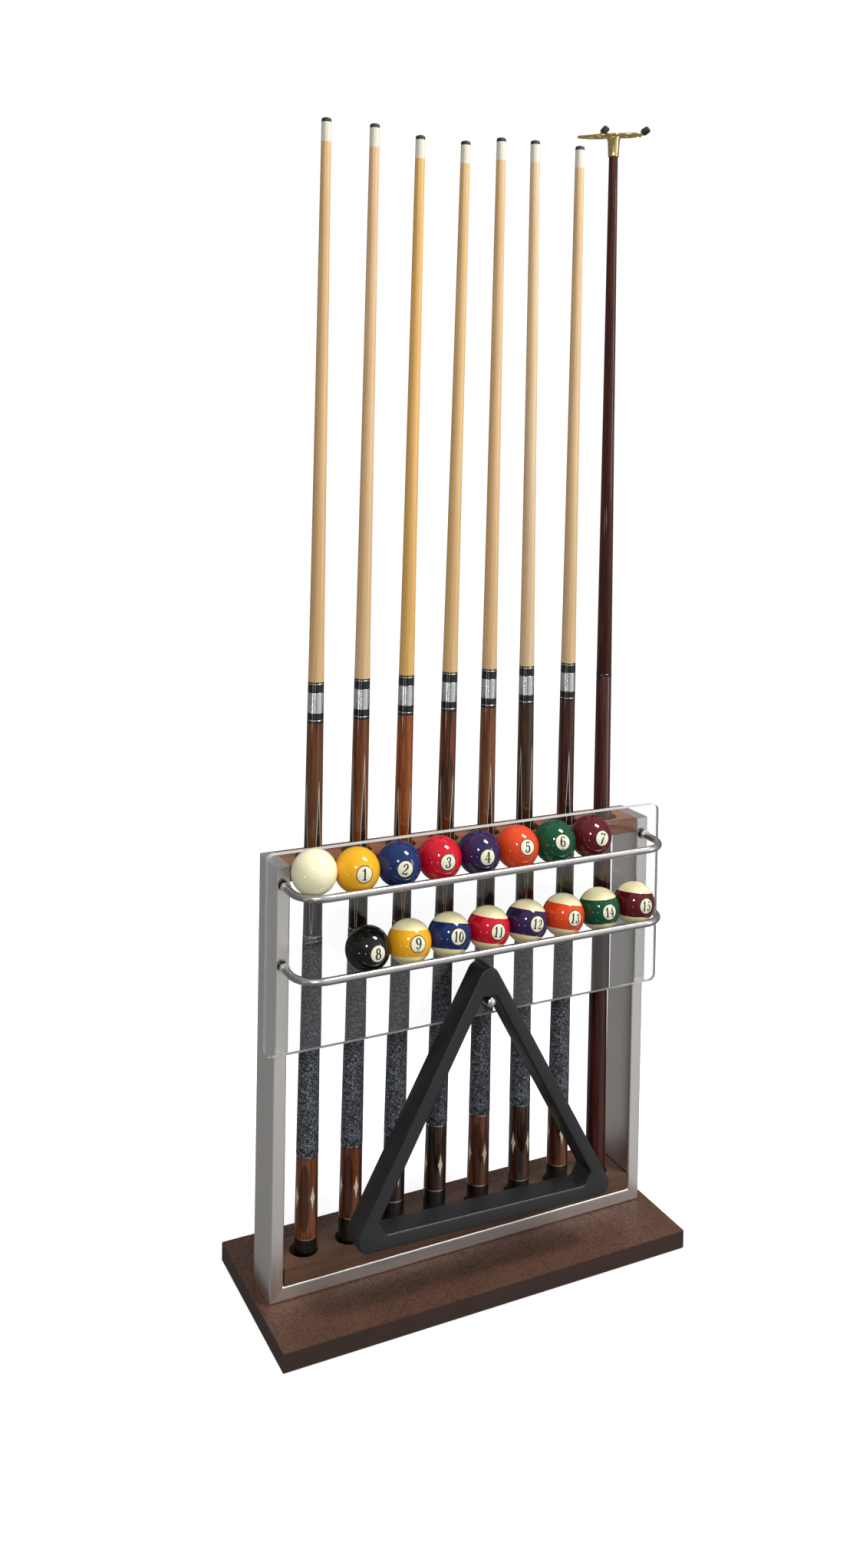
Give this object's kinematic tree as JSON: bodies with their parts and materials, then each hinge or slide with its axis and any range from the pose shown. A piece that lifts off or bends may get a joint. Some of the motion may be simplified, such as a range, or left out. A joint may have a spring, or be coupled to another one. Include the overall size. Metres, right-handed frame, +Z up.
{
  "type": "floor-standing cue and ball rack",
  "caption": "Floor-standing rack on a base board: steel frame with drilled cue rail and tray, clear panel with ball rails, stocked with cues, a bridge, balls and a racking triangle.",
  "frame": {"origin": "on the floor under the middle of the base board", "axes": "+Z up, +Y to the back, +X to the right as seen from the front"},
  "size_m": [0.585, 0.239, 1.5547],
  "materials": {
    "base_wood": "smooth dark brown edge",
    "leatherette": "pebbled brown",
    "black_rubber": "matt",
    "satin_steel": "satin nickel",
    "rail_wood": "varnished orange-brown",
    "tray_wood": "smooth dark brown",
    "clear_acrylic": "clear, polished",
    "rail_steel": "fine satin",
    "zinc_steel": "zinc",
    "peg_metal": "polished",
    "black_plastic": "satin black",
    "bridge_wood": "dark red-brown gloss",
    "brass": "polished",
    "maple": "smooth maple",
    "linen": "black linen with white specks",
    "butt_1": "gloss",
    "butt_2": "gloss",
    "butt_3": "gloss",
    "butt_4": "gloss",
    "butt_5": "gloss",
    "butt_6": "gloss",
    "butt_7": "gloss",
    "cue_ball_resin": "polished resin",
    "ball_1_resin": "polished resin",
    "ball_2_resin": "polished resin",
    "ball_3_resin": "polished resin",
    "ball_4_resin": "polished resin",
    "ball_5_resin": "polished resin",
    "ball_6_resin": "polished resin",
    "ball_7_resin": "polished resin",
    "ball_8_resin": "polished resin",
    "ball_9_resin": "polished resin, cream with a colour band",
    "ball_10_resin": "polished resin, cream with a colour band",
    "ball_11_resin": "polished resin, cream with a colour band",
    "ball_12_resin": "polished resin, cream with a colour band",
    "ball_13_resin": "polished resin, cream with a colour band",
    "ball_14_resin": "polished resin, cream with a colour band",
    "ball_15_resin": "polished resin, cream with a colour band"
  },
  "bodies": {
    "rack": {"base_board": "base_wood", "base_top_sheet": "leatherette", "base_feet": "black_rubber", "left_upright": "satin_steel", "right_upright": "satin_steel", "bottom_rail": "satin_steel", "upper_cue_rail": "rail_wood", "lower_cue_tray": "tray_wood", "hole_pads": "black_rubber", "acrylic_panel": "clear_acrylic", "panel_spacers": "black_rubber", "upper_ball_rail": "rail_steel", "lower_ball_rail": "rail_steel", "rail_washers": "rail_steel", "rail_nuts": "zinc_steel", "rail_pins": "zinc_steel", "frame_screws": "zinc_steel", "triangle_peg": "peg_metal", "peg_screw": "zinc_steel"},
    "triangle": {"triangle_rack": "black_plastic"},
    "cue_1": {"cue_1_shaft": "maple", "cue_1_butt": "butt_1", "cue_1_wrap": "linen"},
    "cue_2": {"cue_2_shaft": "maple", "cue_2_butt": "butt_2", "cue_2_wrap": "linen"},
    "cue_3": {"cue_3_shaft": "maple", "cue_3_butt": "butt_3", "cue_3_wrap": "linen"},
    "cue_4": {"cue_4_shaft": "maple", "cue_4_butt": "butt_4", "cue_4_wrap": "linen"},
    "cue_5": {"cue_5_shaft": "maple", "cue_5_butt": "butt_5", "cue_5_wrap": "linen"},
    "cue_6": {"cue_6_shaft": "maple", "cue_6_butt": "butt_6", "cue_6_wrap": "linen"},
    "cue_7": {"cue_7_shaft": "maple", "cue_7_butt": "butt_7", "cue_7_wrap": "linen"},
    "bridge": {"bridge_stick": "bridge_wood", "bridge_head": "brass", "bridge_feet": "black_rubber"},
    "cue_ball_body": {"cue_ball": "cue_ball_resin"},
    "ball_1_body": {"ball_1": "ball_1_resin"},
    "ball_2_body": {"ball_2": "ball_2_resin"},
    "ball_3_body": {"ball_3": "ball_3_resin"},
    "ball_4_body": {"ball_4": "ball_4_resin"},
    "ball_5_body": {"ball_5": "ball_5_resin"},
    "ball_6_body": {"ball_6": "ball_6_resin"},
    "ball_7_body": {"ball_7": "ball_7_resin"},
    "ball_8_body": {"ball_8": "ball_8_resin"},
    "ball_9_body": {"ball_9": "ball_9_resin"},
    "ball_10_body": {"ball_10": "ball_10_resin"},
    "ball_11_body": {"ball_11": "ball_11_resin"},
    "ball_12_body": {"ball_12": "ball_12_resin"},
    "ball_13_body": {"ball_13": "ball_13_resin"},
    "ball_14_body": {"ball_14": "ball_14_resin"},
    "ball_15_body": {"ball_15": "ball_15_resin"}
  },
  "joints": [
    {"name": "cue_1_lift", "type": "slide", "parent": "rack", "child": "cue_1", "axis": [0.0034, 0, 1], "range_m": [0, 0.58]},
    {"name": "cue_2_lift", "type": "slide", "parent": "rack", "child": "cue_2", "axis": [0.0073, 0, 1], "range_m": [0, 0.58]},
    {"name": "cue_3_lift", "type": "slide", "parent": "rack", "child": "cue_3", "axis": [0.01, 0, 1], "range_m": [0, 0.58]},
    {"name": "cue_4_lift", "type": "slide", "parent": "rack", "child": "cue_4", "axis": [0.0136, 0, 0.9999], "range_m": [0, 0.58]},
    {"name": "cue_5_lift", "type": "slide", "parent": "rack", "child": "cue_5", "axis": [0.005, 0, 1], "range_m": [0, 0.58]},
    {"name": "cue_6_lift", "type": "slide", "parent": "rack", "child": "cue_6", "axis": [-0.0033, 0, 1], "range_m": [0, 0.58]},
    {"name": "cue_7_lift", "type": "slide", "parent": "rack", "child": "cue_7", "axis": [0.0034, 0, 1], "range_m": [0, 0.58]},
    {"name": "bridge_lift", "type": "slide", "parent": "rack", "child": "bridge", "axis": [-0.0027, 0, 1], "range_m": [0, 0.58]},
    {"name": "cue_ball_lift", "type": "slide", "parent": "rack", "child": "cue_ball_body", "axis": [0, -0.4067, 0.9135], "range_m": [0, 0.16]},
    {"name": "ball_1_lift", "type": "slide", "parent": "rack", "child": "ball_1_body", "axis": [0, -0.682, 0.7314], "range_m": [0, 0.16]},
    {"name": "ball_2_lift", "type": "slide", "parent": "rack", "child": "ball_2_body", "axis": [0, -0.682, 0.7314], "range_m": [0, 0.16]},
    {"name": "ball_3_lift", "type": "slide", "parent": "rack", "child": "ball_3_body", "axis": [0, -0.682, 0.7314], "range_m": [0, 0.16]},
    {"name": "ball_4_lift", "type": "slide", "parent": "rack", "child": "ball_4_body", "axis": [0, -0.682, 0.7314], "range_m": [0, 0.16]},
    {"name": "ball_5_lift", "type": "slide", "parent": "rack", "child": "ball_5_body", "axis": [0, -0.682, 0.7314], "range_m": [0, 0.16]},
    {"name": "ball_6_lift", "type": "slide", "parent": "rack", "child": "ball_6_body", "axis": [0, -0.682, 0.7314], "range_m": [0, 0.16]},
    {"name": "ball_7_lift", "type": "slide", "parent": "rack", "child": "ball_7_body", "axis": [0, -0.682, 0.7314], "range_m": [0, 0.16]},
    {"name": "ball_8_lift", "type": "slide", "parent": "rack", "child": "ball_8_body", "axis": [0, -0.682, 0.7314], "range_m": [0, 0.16]},
    {"name": "ball_9_lift", "type": "slide", "parent": "rack", "child": "ball_9_body", "axis": [0, -0.682, 0.7314], "range_m": [0, 0.16]},
    {"name": "ball_10_lift", "type": "slide", "parent": "rack", "child": "ball_10_body", "axis": [0, -0.682, 0.7314], "range_m": [0, 0.16]},
    {"name": "ball_11_lift", "type": "slide", "parent": "rack", "child": "ball_11_body", "axis": [0, -0.682, 0.7314], "range_m": [0, 0.16]},
    {"name": "ball_12_lift", "type": "slide", "parent": "rack", "child": "ball_12_body", "axis": [0, -0.682, 0.7314], "range_m": [0, 0.16]},
    {"name": "ball_13_lift", "type": "slide", "parent": "rack", "child": "ball_13_body", "axis": [0, -0.682, 0.7314], "range_m": [0, 0.16]},
    {"name": "ball_14_lift", "type": "slide", "parent": "rack", "child": "ball_14_body", "axis": [0, -0.682, 0.7314], "range_m": [0, 0.16]},
    {"name": "ball_15_lift", "type": "slide", "parent": "rack", "child": "ball_15_body", "axis": [0, -0.682, 0.7314], "range_m": [0, 0.16]},
    {"name": "triangle_pull", "type": "slide", "parent": "rack", "child": "triangle", "axis": [0, -0.9969, 0.0785], "range_m": [0, 0.13]}
  ]
}
